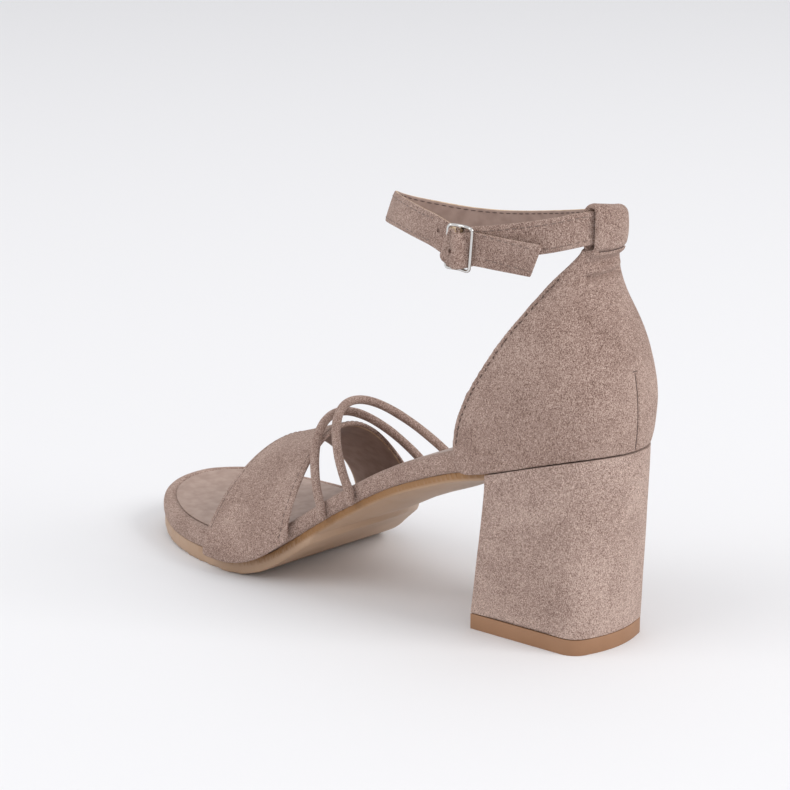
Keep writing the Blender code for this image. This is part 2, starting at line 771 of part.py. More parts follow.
def strap_stations():
    """Stations of the strap: along, outward, height, thickness, width."""
    rows = []
    for step in range(9):
        angle = math.radians(WRAP_START - (WRAP_START + 90.0) * step / 8.0)
        rows.append((TURN_RADIUS * math.cos(angle), BAR_LEVEL + TURN_RADIUS * math.sin(angle),
                     0.0, WRAP_THICKNESS, WRAP_WIDTH))
    settle = BUCKLE_WIDTH / 2.0
    low = BAR_LEVEL - TURN_RADIUS
    for t in (0.3, 0.6, 0.85, 1.0):
        ease = ease_in(t)
        thickness = WRAP_THICKNESS + (STRAP_THICKNESS - WRAP_THICKNESS) * ease
        width = WRAP_WIDTH + (1.0 - WRAP_WIDTH) * ease
        rows.append((-settle * t, low * (1.0 - ease), 0.0, thickness, width))
    lead = BUCKLE_WIDTH * LEAD_SHARE
    run = LOOP_LENGTH - settle - lead
    for step in range(1, STRAP_STEPS):
        rows.append((-settle - run * step / STRAP_STEPS, 0.0, 0.0, STRAP_THICKNESS, 1.0))
    half = BUCKLE_WIDTH / 2.0 - CLEARANCE / 2.0
    for step in range(6):
        ease = ease_in(step / 6.0)
        rows.append((-LOOP_LENGTH + lead - (lead - half) * step / 6.0, TAIL_LEVEL * ease,
                     -LAYER_DROP * LEAD_DROP * ease, STRAP_THICKNESS, 1.0))
    inside = BUCKLE_WIDTH / 2.0 - STRAP_THICKNESS / 2.0 - CLEARANCE
    for step in range(13):
        t = step / 12.0
        hump = math.sin(math.pi * t) ** HUMP_POWER
        rows.append((-LOOP_LENGTH + inside - 2.0 * inside * t, TAIL_LEVEL + (OVER_LEVEL - TAIL_LEVEL) * hump,
                     -LAYER_DROP * (LEAD_DROP + (1.0 - LEAD_DROP) * t), STRAP_THICKNESS, 1.0))
    for step in range(1, 9):
        t = step / 8.0
        q = half + (STRAP_TAIL - half) * t
        rows.append((-LOOP_LENGTH - q, TAIL_LEVEL + TAIL_LIFT * t * t,
                     -LAYER_DROP - (TAIL_DROP - LAYER_DROP) * t, STRAP_THICKNESS, 1.0))
    return rows


def make_ankle_strap(collection):
    """One strap: round the buckle bar, through the tab, round the ankle and back."""
    bar_at = BUCKLE_AT * LOOP_LENGTH
    points = []
    faces = []
    rows = strap_stations()
    centres = [on_loop(bar_at + row[0], row[1], row[2])[0] for row in rows]
    for index, (along, outward, height, thickness, width) in enumerate(rows):
        before = centres[max(index - 1, 0)]
        after = centres[min(index + 1, len(rows) - 1)]
        forward = (after - before) / np.linalg.norm(after - before)
        _, _, up = on_loop(bar_at + along)
        up = up - forward * np.dot(up, forward)
        up /= np.linalg.norm(up)
        out = np.cross(forward, up)
        half = STRAP_WIDTH * width / 2.0
        slant = 0.0
        if index == len(rows) - 1:
            slant = TAIL_SLANT
        corner = thickness * 0.3
        shape = [
            (half - corner, thickness / 2.0), (half, thickness / 2.0 - corner),
            (half, corner - thickness / 2.0), (half - corner, -thickness / 2.0),
            (corner - half, -thickness / 2.0), (-half, corner - thickness / 2.0),
            (-half, thickness / 2.0 - corner), (corner - half, thickness / 2.0),
        ]
        for high, deep in shape:
            lead = forward * slant * high / half
            points.append(tuple(centres[index] + up * high + out * deep + lead))
    ring = 8
    for row in range(len(rows) - 1):
        for i in range(ring):
            j = (i + 1) % ring
            base = row * ring
            faces.append((base + i, base + j, base + ring + j, base + ring + i))
    for base in (0, (len(rows) - 1) * ring):
        faces.append(tuple(base + i for i in range(ring)))
    return from_faces("ankle_strap", points, faces, collection, "suede")


def tube(name, route, radius, cyclic, collection, slot):
    """Round wire or cord along a route, as a closed mesh."""
    curve = bpy.data.curves.new(name + "_route", "CURVE")
    curve.dimensions = "3D"
    curve.bevel_depth = radius
    curve.bevel_resolution = 2
    curve.use_fill_caps = not cyclic
    spline = curve.splines.new("POLY")
    spline.points.add(len(route) - 1)
    for point, where in zip(spline.points, route):
        point.co = (*where, 1.0)
    spline.use_cyclic_u = cyclic
    guide = bpy.data.objects.new(name + "_route", curve)
    collection.objects.link(guide)
    graph = bpy.context.evaluated_depsgraph_get()
    mesh = bpy.data.meshes.new_from_object(guide.evaluated_get(graph))
    bpy.data.objects.remove(guide, do_unlink=True)
    work = bmesh.new()
    work.from_mesh(mesh)
    bmesh.ops.remove_doubles(work, verts=work.verts, dist=1e-6)
    bmesh.ops.recalc_face_normals(work, faces=work.faces)
    work.to_mesh(mesh)
    work.free()
    mesh.materials.clear()
    return finish(name, mesh, collection, slot)


def make_buckle(collection, cutters):
    """Bowed wire frame with a centre bar that carries the strap's end."""
    middle, out, up = on_loop(BUCKLE_AT * LOOP_LENGTH, BAR_LEVEL, -BUCKLE_DROP)
    ahead = np.cross(out, up)
    tilt = math.radians(BUCKLE_TILT)
    along = ahead * math.cos(tilt) + up * math.sin(tilt)
    rise = up * math.cos(tilt) - ahead * math.sin(tilt)
    half_long = BUCKLE_WIDTH / 2.0
    half_high = BUCKLE_HEIGHT / 2.0
    flat = []
    for side_q, side_h, first in ((1, 1, 0), (-1, 1, 90), (-1, -1, 180), (1, -1, 270)):
        q0 = side_q * (half_long - BUCKLE_CORNER)
        h0 = side_h * (half_high - BUCKLE_CORNER)
        for step in range(5):
            angle = math.radians(first + 90.0 * step / 4.0)
            flat.append((q0 + BUCKLE_CORNER * math.cos(angle), h0 + BUCKLE_CORNER * math.sin(angle)))
        if side_q == side_h:
            flat += [(side_h * half_long * t, side_h * half_high) for t in (0.35, 0.0, -0.35)]
    route = []
    for q, h in flat:
        bow = BUCKLE_BOW * min(abs(q) / (half_long - BUCKLE_CORNER), 1.0) ** 2
        route.append(middle + along * q + rise * h + out * bow)
    buckle = tube("buckle", route, WIRE_RADIUS, True, collection, "nickel")
    ends = [middle - up * half_high, middle, middle + up * half_high]
    rod = tube("buckle_bar", ends, WIRE_RADIUS * BAR_SHARE, False, cutters, "nickel")
    rod.hide_render = True
    rod.display_type = "WIRE"
    union = buckle.modifiers.new("bar", "BOOLEAN")
    union.operation = "UNION"
    union.solver = "EXACT"
    union.object = rod
    return buckle


def arch_route(name, stand_off, steps):
    """Route over the foot: up beside the footbed, over the crest, and down."""
    lateral, medial, crest, rise, roundness = ARCHES[name]
    lateral_y = place(lateral)
    medial_y = place(medial)
    lateral_x = half_width(lateral_y, 1) + stand_off
    medial_x = -half_width(medial_y, -1) - stand_off
    leg = FOOTBED_THICKNESS - RIM_ROUND
    crest_z = underside(place(crest)) + FOOTBED_THICKNESS + rise
    route = []
    for height in STRAP_LEG[:2]:
        route.append((lateral_x, lateral_y, underside(lateral_y) + leg * height))
    for step in range(steps + 1):
        angle = math.pi * step / steps
        t = (1.0 - math.cos(angle)) / 2.0
        x = lateral_x * (1.0 - t) + medial_x * t
        lift = math.sin(angle) ** roundness
        foot_y = lateral_y * (1.0 - t) + medial_y * t
        foot_z = underside(lateral_y) * (1.0 - t) + underside(medial_y) * t + leg
        y = foot_y + (place(crest) - (lateral_y + medial_y) / 2.0) * lift
        route.append((x, y, foot_z + (crest_z - foot_z) * lift))
    for height in STRAP_LEG[1::-1]:
        route.append((medial_x, medial_y, underside(medial_y) + leg * height))
    return np.array(route)


def make_instep_strap(name, collection):
    """Round padded cord strap over the instep."""
    route = arch_route(name, CLEARANCE + CORD_DIAMETER / 2.0, 24)
    return tube(name, route, CORD_DIAMETER / 2.0, False, collection, "suede")


def make_vamp_band(collection):
    """Broad band over the toe joints, open at the toe."""
    stand_off = CLEARANCE + VAMP_WALL
    rear = arch_route("vamp_rear_edge", stand_off, 20)
    front = arch_route("vamp_front_edge", stand_off, 20)
    rows = []
    steps = 9
    for step in range(steps + 1):
        t = step / steps
        row = rear * (1.0 - t) + front * t
        for k, point in enumerate(row):
            side = 1.0 if k < len(row) / 2 else -1.0
            upright = k < 3 or k > len(row) - 4
            if upright:
                row[k][0] = side * (half_width(point[1], side) + stand_off)
                leg = (FOOTBED_THICKNESS - RIM_ROUND) * STRAP_LEG[min(k, len(row) - 1 - k)]
                row[k][2] = underside(point[1]) + leg
        rows.append(row)
    return shell("vamp_band", rows, VAMP_WALL, collection, "suede")


def main():
    """Build every piece of the sandal."""
    collection, cutters = clear_scene()
    make_heel_lift(collection)
    make_heel_block(collection)
    make_outsole(collection)
    make_footbed(collection)
    make_insole(collection)
    make_heel_counter(collection, cutters)
    make_ankle_strap(collection)
    make_buckle(collection, cutters)
    make_instep_strap("instep_strap_rear", collection)
    make_instep_strap("instep_strap_front", collection)
    make_vamp_band(collection)


main()
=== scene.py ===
# %% [markdown]
# # A block heel sandal in taupe suede
#
# This is a left shoe. It stands empty on its heel and on its forepart. The toe points to -Y,
# the buckle side is +X, and the floor is z = 0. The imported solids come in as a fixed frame.
# Each soft solid is then replaced by a finer piece that lies in the same place.

# %% Load the frame
import math

import bpy
import numpy as np
from mathutils import Matrix, Vector, noise


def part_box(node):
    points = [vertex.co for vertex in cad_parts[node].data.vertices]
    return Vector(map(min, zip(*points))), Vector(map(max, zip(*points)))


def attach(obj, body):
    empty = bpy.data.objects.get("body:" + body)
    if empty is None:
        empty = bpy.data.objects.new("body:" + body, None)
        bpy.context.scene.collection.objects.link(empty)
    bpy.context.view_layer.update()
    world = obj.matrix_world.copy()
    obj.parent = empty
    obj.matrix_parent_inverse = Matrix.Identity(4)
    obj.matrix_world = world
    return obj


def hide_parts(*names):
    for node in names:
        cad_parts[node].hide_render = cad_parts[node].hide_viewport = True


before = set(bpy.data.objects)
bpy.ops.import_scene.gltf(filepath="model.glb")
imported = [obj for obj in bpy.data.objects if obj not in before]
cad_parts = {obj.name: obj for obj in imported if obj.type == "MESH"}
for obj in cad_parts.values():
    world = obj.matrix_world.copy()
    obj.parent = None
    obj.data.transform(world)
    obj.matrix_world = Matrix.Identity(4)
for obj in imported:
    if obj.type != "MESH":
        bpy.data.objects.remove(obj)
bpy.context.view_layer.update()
MM = 0.001
print("solids:", sorted(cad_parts))

# %% [markdown]
# ## Working by hand in a script
#
# An operator acts on whatever is selected, so each step first picks the one piece it works on.
# A modifier is set up and applied in one go, because the finished piece is a plain mesh.

# %% Pick a piece and apply a modifier to it
def pick(*pieces):
    """Select these pieces alone; the first one is active."""
    bpy.ops.object.select_all(action="DESELECT")
    for piece in pieces:
        piece.select_set(True)
    bpy.context.view_layer.objects.active = pieces[0]


def modify(piece, kind, **settings):
    """Add one modifier with these settings and apply it."""
    pick(piece)
    change = piece.modifiers.new(kind, kind)
    for setting, value in settings.items():
        setattr(change, setting, value)
    bpy.ops.object.modifier_apply(modifier=change.name)


def subdivide(piece, levels):
    """Round a piece by subdivision."""
    modify(piece, "SUBSURF", levels=levels, render_levels=levels)


# %% [markdown]
# A solid arrives as loose triangles. Its copy is welded, and its triangles are paired up into
# quads again, because subdivision rounds quads evenly and pinches on triangles.

# %% Copy a solid as clean quads
WELD = 0.001 * MM


def soft_copy(node, name):
    """Copy a solid's mesh, weld it and turn its triangles back into quads."""
    piece = bpy.data.objects.new(name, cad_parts[node].data.copy())
    bpy.context.scene.collection.objects.link(piece)
    piece.data.materials.clear()
    pick(piece)
    bpy.ops.mesh.customdata_custom_splitnormals_clear()
    bpy.ops.object.mode_set(mode="EDIT")
    bpy.ops.mesh.select_all(action="SELECT")
    bpy.ops.mesh.remove_doubles(threshold=WELD)
    bpy.ops.mesh.mark_sharp(clear=True)
    bpy.ops.mesh.tris_convert_to_quads(face_threshold=math.radians(50.0),
                                       shape_threshold=math.radians(60.0))
    bpy.ops.object.mode_set(mode="OBJECT")
    bpy.ops.object.shade_smooth()
    print(name, "starts with", len(piece.data.polygons), "faces")
    return piece


# %% [markdown]
# The last shaping is done by moving points, as with a sculpting brush. For that, a piece's
# points and normals are read into arrays, moved, and written back.

# %% Read and move a piece's points
def points_of(piece):
    """Every point of the piece, one row each."""
    flat = np.empty(len(piece.data.vertices) * 3)
    piece.data.vertices.foreach_get("co", flat)
    return flat.reshape(-1, 3)


def normals_of(piece):
    """The outward direction at every point."""
    flat = np.empty(len(piece.data.vertices) * 3)
    piece.data.vertices.foreach_get("normal", flat)
    return flat.reshape(-1, 3)


def move_to(piece, points):
    """Put the piece's points at these places."""
    piece.data.vertices.foreach_set("co", points.ravel())
    piece.data.update()


def push(piece, amount):
    """Move every point along its own normal."""
    move_to(piece, points_of(piece) + normals_of(piece) * np.asarray(amount)[:, None])


def distance_to(points, line):
    """Distance of every point to a line of points."""
    nearest = np.full(len(points), 1.0)
    for start, end in zip(line[:-1], line[1:]):
        run = end - start
        share = np.clip((points - start) @ run / max(run @ run, WELD ** 2), 0.0, 1.0)
        nearest = np.minimum(nearest, np.linalg.norm(points - start - share[:, None] * run, axis=1))
    return nearest


def press(piece, line, depth, width):
    """Press a soft trough along a line, or raise a ridge where the depth is negative."""
    near = distance_to(points_of(piece), np.asarray(line))
    push(piece, -depth * np.exp(-(near / width) ** 2))


def knead(piece, size, amount):
    """Give the skin the slight unevenness of glued leather."""
    points = points_of(piece) / size
    push(piece, [amount * noise.noise(Vector(point)) for point in points])


# %% [markdown]
# ## Suede
#
# Suede is leather with its fibres brushed up. Up close it is a salt and pepper of light tips
# and dark roots, and further off it is cloudy where fingers have stroked the nap another way.
# Three noises of different size give speckle, clouds and broad shading. They feed one colour
# ramp, and the speckle also drives a shallow bump. Sheen gives the pale bloom at glancing angles.

# %% Small helpers for materials
def new_material(name, **values):
    """Make a material and set its shader's own sockets."""
    made = bpy.data.materials.new(name)
    made.use_nodes = True
    shader = made.node_tree.nodes["Principled BSDF"]
    for socket, value in values.items():
        shader.inputs[socket.replace("_", " ")].default_value = value
    return made


def add_node(made, kind, values=(), **settings):
    """Add a node with these input values and settings."""
    node = made.node_tree.nodes.new(kind)
    for setting, value in settings.items():
        setattr(node, setting, value)
    for socket, value in dict(values).items():
        node.inputs[socket].default_value = value
    return node


def join(made, source, socket, target, into):
    """Link one node's output to another node's input."""
    made.node_tree.links.new(source.outputs[socket], target.inputs[into])


def object_noise(made, scale, stretch=(1.0, 1.0, 1.0), detail=2.0, roughness=0.5):
    """A noise laid out in the piece's own metres; scale is in bumps to the metre."""
    where = add_node(made, "ShaderNodeTexCoord")
    mapping = add_node(made, "ShaderNodeMapping", {"Scale": stretch})
    found = add_node(made, "ShaderNodeTexNoise",
                     {"Scale": scale, "Detail": detail, "Roughness": roughness})
    join(made, where, "Object", mapping, "Vector")
    join(made, mapping, "Vector", found, "Vector")
    return found


def blend_noises(made, noises):
    """Add noises up, each times its own weight."""
    total = None
    for source, weight in noises:
        part = add_node(made, "ShaderNodeMath", {1: weight}, operation="MULTIPLY")
        join(made, source, "Fac", part, 0)
        if total is None:
            total = part
            continue
        added = add_node(made, "ShaderNodeMath", operation="ADD")
        join(made, total, "Value", added, 0)
        join(made, part, "Value", added, 1)
        total = added
    return total


def colour_from(made, source, socket, stops):
    """Turn a value into the base colour through a ramp of (place, colour)."""
    ramp = add_node(made, "ShaderNodeValToRGB")
    points = ramp.color_ramp.elements
    while len(points) < len(stops):
        points.new(0.5)
    for point, (place, colour) in zip(points, stops):
        point.position = place
        point.color = (*colour, 1.0)
    join(made, source, socket, ramp, "Fac")
    join(made, ramp, "Color", made.node_tree.nodes["Principled BSDF"], "Base Color")


def bump_from(made, source, socket, height, strength=1.0):
    """Let a value raise the surface by a height in metres."""
    bump = add_node(made, "ShaderNodeBump", {"Strength": strength, "Distance": height})
    join(made, source, socket, bump, "Height")
    join(made, bump, "Normal", made.node_tree.nodes["Principled BSDF"], "Normal")


# %% Mix the suedes
def make_suede(name, dark, middle, light):
    """Napped suede: speckle, clumps and stroked patches in one ramp."""
    made = new_material(name, Roughness=0.95, Specular_IOR_Level=0.12, Sheen_Weight=0.22,
                        Sheen_Roughness=0.40, Sheen_Tint=(1.0, 0.84, 0.74, 1.0))
    speckle = object_noise(made, 3200.0, stretch=(1.0, 1.0, 0.75), detail=3.0, roughness=0.75)
    clumps = object_noise(made, 900.0, detail=2.0, roughness=0.6)
    patches = object_noise(made, 55.0, detail=3.0, roughness=0.6)
    total = blend_noises(made, [(speckle, 0.74), (clumps, 0.13), (patches, 0.13)])
    colour_from(made, total, "Value", [(0.39, dark), (0.49, middle), (0.59, light)])
    bump_from(made, speckle, "Fac", 0.40 * MM, 1.0)
    return made


SUEDE = make_suede("taupe_suede", (0.130, 0.074, 0.056), (0.360, 0.242, 0.200), (0.650, 0.492, 0.420))
# Painted light: the heel's suede is the same suede mixed lighter, so the heel shows brighter.
LIT_HEEL_SUEDE = make_suede("heel_suede_painted_lighter", (0.165, 0.100, 0.078), (0.435, 0.304, 0.256),
                        (0.740, 0.575, 0.495))
print("suedes:", SUEDE.name, LIT_HEEL_SUEDE.name)

# %% [markdown]
# ## Lining, cut edges, sock and soles
#
# The lining is thin smooth leather that wrinkles finely across the strap. A cut edge shows the
# tan inside of the leather. The sole is cast resin, satin beige, with a line of painted shade in
# darker amber under the footbed's rim, and the top piece of the heel is a harder brown rubber.

# %% Mix the leathers
def make_leather(name, dark, light, roughness, stretch, wrinkle):
    """Smooth leather with soft shading and fine wrinkles."""
    made = new_material(name, Roughness=roughness, Specular_IOR_Level=0.35)
    clouds = object_noise(made, 220.0, detail=3.0)
    colour_from(made, clouds, "Fac", [(0.35, dark), (0.65, light)])
    wrinkles = object_noise(made, 1100.0, stretch=stretch, detail=3.0)
    bump_from(made, wrinkles, "Fac", wrinkle, 0.7)
    return made


LINING = make_leather("lining", (0.300, 0.205, 0.168), (0.375, 0.265, 0.220),
                      roughness=0.55, stretch=(1.0, 1.0, 0.25), wrinkle=0.15 * MM)
SOCK = make_leather("sock_leather", (0.350, 0.245, 0.200), (0.430, 0.315, 0.262),
                    roughness=0.50, stretch=(1.0, 1.0, 1.0), wrinkle=0.08 * MM)
CUT_EDGE = make_leather("cut_edge", (0.500, 0.350, 0.215), (0.740, 0.570, 0.390),
                        roughness=0.80, stretch=(1.0, 1.0, 2.0), wrinkle=0.15 * MM)
print("leathers:", LINING.name, SOCK.name, CUT_EDGE.name)

# %% Mix the resin, the rubber, the thread and the metal
def make_moulded(name, dark, light, roughness, **values):
    """Moulded sole stuff: nearly one colour, with a faint moulded grain."""
    made = new_material(name, Roughness=roughness, **values)
    clouds = object_noise(made, 60.0, detail=3.0)
    colour_from(made, clouds, "Fac", [(0.30, dark), (0.70, light)])
    grain = object_noise(made, 2500.0, detail=2.0)
    bump_from(made, grain, "Fac", 0.02 * MM, 0.5)
    return made


# A colour mix names its sockets more than once, so they are picked by number.
MIX_SHARE = 0
MIX_PLAIN = 6
# Socket for the painted shade's colour.
MIX_SHADE = 7
MIX_RESULT = 2


# Used to paint shade under the footbed's rim onto the outsole.
def paint_rim_shade(made, attribute, colour):
    """Tint the base colour where the piece's own attribute is high."""
    shader = made.node_tree.nodes["Principled BSDF"]
    plain = shader.inputs["Base Color"].links[0].from_socket
    where = add_node(made, "ShaderNodeAttribute", attribute_name=attribute)
    mix = add_node(made, "ShaderNodeMix", data_type="RGBA")
    mix.inputs[MIX_SHADE].default_value = (*colour, 1.0)
    made.node_tree.links.new(where.outputs["Fac"], mix.inputs[MIX_SHARE])
    made.node_tree.links.new(plain, mix.inputs[MIX_PLAIN])
    made.node_tree.links.new(mix.outputs[MIX_RESULT], shader.inputs["Base Color"])


OUTSOLE = make_moulded("outsole_resin", (0.430, 0.280, 0.180), (0.490, 0.328, 0.220), 0.45)
# Painted shade: the outsole's side right under the footbed's rim is tinted darker amber.
paint_rim_shade(OUTSOLE, "paint_rim_shade", (0.300, 0.150, 0.055))
LIFT = make_moulded("lift_rubber", (0.300, 0.152, 0.076), (0.350, 0.184, 0.096), 0.48)
THREAD = make_moulded("thread", (0.180, 0.122, 0.098), (0.240, 0.168, 0.138), 0.70,
                      Sheen_Weight=0.2)
# Dark thread. On the strap's lining rows its darkness also stands in for painted shade.
DARK_THREAD_AND_SHADE = make_moulded("dark_thread_and_shade", (0.075, 0.048, 0.038), (0.110, 0.072, 0.058), 0.75)
NICKEL = new_material("nickel", Base_Color=(0.66, 0.65, 0.63, 1.0), Metallic=1.0, Roughness=0.12)
print("materials:", len(bpy.data.materials))

# %% [markdown]
# Leather pieces have one face of suede and one of lining. A face's material is chosen by where
# the face looks, so the pieces need no maps.

# %% Give each face its material
def dress(piece, materials, choice):
    """Give each face one of the materials, by a rule on its centre and normal."""
    for made in materials:
        piece.data.materials.append(made)
    count = len(piece.data.polygons)
    centres = np.empty(count * 3)
    facing = np.empty(count * 3)
    piece.data.polygons.foreach_get("center", centres)
    piece.data.polygons.foreach_get("normal", facing)
    picked = choice(centres.reshape(-1, 3), facing.reshape(-1, 3))
    piece.data.polygons.foreach_set("material_index", picked.astype(np.int32))
    piece.data.update()


def all_alike(centres, facing):
    """Every face takes the first material."""
    return np.zeros(len(centres))


def hand_over(piece, slot, *nodes):
    """Let the piece ride on the shoe and stand for its solids."""
    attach(piece, "root")
    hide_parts(*nodes)
    print(piece.name, len(piece.data.polygons), "faces")


# %% [markdown]
# ## Stitches
#
# A stitch is a short thread that dips into the leather at both ends. One is modelled from a
# small ball and copied along each row. Half of it is sunk in the leather.

# %% Walk along a line and lay stitches on it
STITCH_PITCH = 2.7 * MM
STITCH_LENGTH = 2.1 * MM
THREAD_WIDTH = 0.38 * MM


def walk(line, pitch):
    """Points a pitch apart along a line, each with the line's direction."""
    line = np.asarray(line)
    reach = np.concatenate([[0.0], np.cumsum(np.linalg.norm(np.diff(line, axis=0), axis=1))])
    steps = []
    for distance in np.arange(pitch / 2.0, reach[-1], pitch):
        ends = [np.array([np.interp(distance + d, reach, line[:, k]) for k in range(3)])
                for d in (-pitch / 4.0, 0.0, pitch / 4.0)]
        steps.append((Vector(ends[1]), Vector(ends[2] - ends[0]).normalized()))
    return steps


def sew(name, rows, surface, thread):
    """Lay one stitch at each step of every row, on the surface, and join them."""
    bpy.ops.mesh.primitive_uv_sphere_add(segments=8, ring_count=6, radius=0.5)
    stitch = bpy.context.object
    copies = []
    for row in rows:
        for point, along in walk(row, STITCH_PITCH):
            _, place, out, _ = surface.closest_point_on_mesh(point)
            along = (along - out * along.dot(out)).normalized()
            across = out.cross(along)
            turn = Matrix((along * STITCH_LENGTH, across * THREAD_WIDTH, out * THREAD_WIDTH)).transposed()
            copy = bpy.data.objects.new(name, stitch.data.copy())
            copy.data.transform(Matrix.Translation(place) @ turn.to_4x4())
            bpy.context.scene.collection.objects.link(copy)
            copies.append(copy)
    bpy.data.objects.remove(stitch)
    pick(*copies)
    bpy.ops.object.join()
    sewn = bpy.context.object
    sewn.name = name
    sewn.data.materials.append(thread)
    bpy.ops.object.shade_smooth()
    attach(sewn, "root")
    print(name, len(copies), "stitches")


# %% [markdown]
# ## Camera, floor and light
#
# The camera keeps the place that the photograph was taken from, behind the outer side of the
# heel. It is aimed and zoomed so that the whole shoe is in the picture. The floor is plain
# and pale. A strong soft light stands behind the heel, a weaker and wider one on the outer side
# toward the toe, and the white room fills the shadows.

# %% Place the camera
CAMERA_PLACE = Vector((597.5, 487.1, 288.8)) * MM
LOOK_AT = Vector((0.0, -82.0, 70.0)) * MM
CAMERA_LENS = 106.0
bpy.ops.object.camera_add(location=CAMERA_PLACE)
camera = bpy.context.object
camera.rotation_euler = (LOOK_AT - CAMERA_PLACE).to_track_quat("-Z", "Y").to_euler()
camera.data.sensor_width = 36.0
camera.data.lens = CAMERA_LENS
camera.data.clip_start = 0.01
bpy.context.scene.camera = camera
bpy.context.scene.view_settings.view_transform = "Standard"

# %% Lay the floor and light the room
bpy.ops.mesh.primitive_plane_add(size=12.0)
floor = bpy.context.object
floor.name = "floor"
paper = new_material("floor_paper", Base_Color=(0.83, 0.83, 0.84, 1.0), Roughness=0.9)
floor.data.materials.append(paper)

ROOM_STRENGTH = 0.79
room = bpy.data.worlds.new("white_room")
room.use_nodes = True
background = room.node_tree.nodes["Background"]
background.inputs["Color"].default_value = (0.98, 0.98, 1.0, 1.0)
background.inputs["Strength"].default_value = ROOM_STRENGTH
bpy.context.scene.world = room


def soft_light(place, size, power):
    """A square soft light aimed at the shoe."""
    bpy.ops.object.light_add(type="AREA", location=place)
    light = bpy.context.object
    light.data.size = size
    light.data.energy = power
    light.rotation_euler = (LOOK_AT - Vector(place)).to_track_quat("-Z", "Y").to_euler()


soft_light((-0.90, 2.60, 2.10), size=1.6, power=52.0)
soft_light((2.30, -1.00, 2.50), size=2.4, power=26.0)
print("camera:", [round(value, 3) for value in CAMERA_PLACE])

# %% [markdown]
# ## The heel counter
#
# The back of the shoe is one shell of suede and lining. Its top narrows to a tab that folds
# outward and down, and holds the ankle strap. The solid is subdivided, then remeshed into an
# even skin of small quads, which also closes the fold and rounds every edge.

# %% Skin the heel counter
COUNTER_SKIN = 0.55 * MM
counter = soft_copy("heel_counter", "counter_upper")
subdivide(counter, 1)
modify(counter, "REMESH", mode="VOXEL", voxel_size=COUNTER_SKIN)
modify(counter, "SMOOTH", factor=0.5, iterations=6)

# %% [markdown]
# A stitch row runs along each topline, sunk in a groove a short distance inside the edge. The
# edge is found on the skin itself: at each height it is the foremost point of that side.

# %% Find the topline on each side
TOPLINE_INSET = 1.5 * MM
TOPLINE_GROOVE = 0.55 * MM
OUTSIDE = 2.0 * MM
EDGE_LEVELS = np.arange(69.0, 132.0, 1.5) * MM


def topline(side):
    """Points a stitch's inset back from the counter's front edge, on its outer face."""
    points = points_of(counter)
    points = points[points[:, 0] * side > 0.0]
    edge = []
    for level in EDGE_LEVELS:
        band = points[np.abs(points[:, 2] - level) < COUNTER_SKIN]
        if len(band):
            edge.append(band[band[:, 1].argmin()])
    edge = np.array(edge)
    for _ in range(3):
        edge[1:-1] = (edge[:-2] + 2.0 * edge[1:-1] + edge[2:]) / 4.0
    row = []
    for place, along in zip(edge, np.gradient(edge, axis=0)):
        outward = Vector((side, 0.0, 0.0))
        inward = Vector(along).normalized().cross(outward) * side
        if inward.y < 0.0:
            inward = -inward
        start = Vector(place) + inward * TOPLINE_INSET + outward * OUTSIDE
        _, found, _, _ = counter.closest_point_on_mesh(start)
        row.append(found)
    return np.array(row)


TOPLINES = [topline(1.0), topline(-1.0)]
for row in TOPLINES:
    press(counter, row, TOPLINE_GROOVE, TOPLINE_GROOVE)
print("topline:", [len(row) for row in TOPLINES])

# %% [markdown]
# A dart is closed by a seam at the middle of the back. The folded tab is puffed up like a soft
# roll. Under it is a stitched line, and lower down soft folds where the fold's end shows through.
# Every line is found on the skin first, and only then are they pressed in.

# %% Find the lines on the back
SEAM_LEVELS = np.arange(71.5, 99.0, 2.0) * MM
SEAM_HEAD = (98.0, 1.2)
TAB_FOLDS = [
    # height, half length, slant, depth and width; lengths in millimetres, a ridge's depth below 0
    (138.0, 7.6, 0.00, 0.80, 0.70),
    (136.0, 7.4, 0.00, -0.50, 2.00),
    (133.9, 7.8, 0.05, 0.45, 0.80),
    (131.6, 7.8, 0.05, -0.60, 2.00),
    (129.4, 8.5, 0.05, 1.60, 1.10),
]


def on_back(x, z):
    """Point of the counter's outer back face at this place."""
    _, found, _, _ = counter.ray_cast(Vector((x, 0.2, z)), Vector((0.0, -1.0, 0.0)))
    return np.array(found)


def across_back(height, half, slant=0.0, count=9):
    """A line across the back, given in millimetres."""
    return [on_back(x * MM, (height - slant * x) * MM) for x in np.linspace(-half, half, count)]


back_seam = [on_back(0.0, level) for level in SEAM_LEVELS]
seam_head = across_back(*SEAM_HEAD, count=3)
folds = [across_back(height, half, slant) for height, half, slant, _, _ in TAB_FOLDS]
print("lines on the back:", 2 + len(folds))

# %% Press the back seam, puff the tab and fold it
TAB_MIDDLE = 146.3 * MM
TAB_HALF_HEIGHT = 8.0 * MM
TAB_HALF_WIDTH = 8.6 * MM
TAB_BEND = 26.0
TAB_SPLIT = 16.6 * MM
TAB_PUFF = 1.3 * MM
TAB_PINCH = 0.13


def puff_tab():
    """Swell the folded tab like a soft roll, and round its corners."""
    points = points_of(counter)
    up = np.clip((points[:, 2] - TAB_MIDDLE) / TAB_HALF_HEIGHT, -1.0, 1.0)
    side = np.clip(points[:, 0] / TAB_HALF_WIDTH, -1.0, 1.0)
    outer = points[:, 1] + TAB_BEND * points[:, 0] ** 2 > TAB_SPLIT
    tall = points[:, 2] > TAB_MIDDLE - TAB_HALF_HEIGHT
    swell = TAB_PUFF * (1.0 - side ** 2) * (1.0 - up ** 2)
    points[:, 1] += np.where(outer & tall, swell, 0.0)
    points[:, 0] *= np.where(tall, 1.0 - TAB_PINCH * up ** 4, 1.0)
    move_to(counter, points)


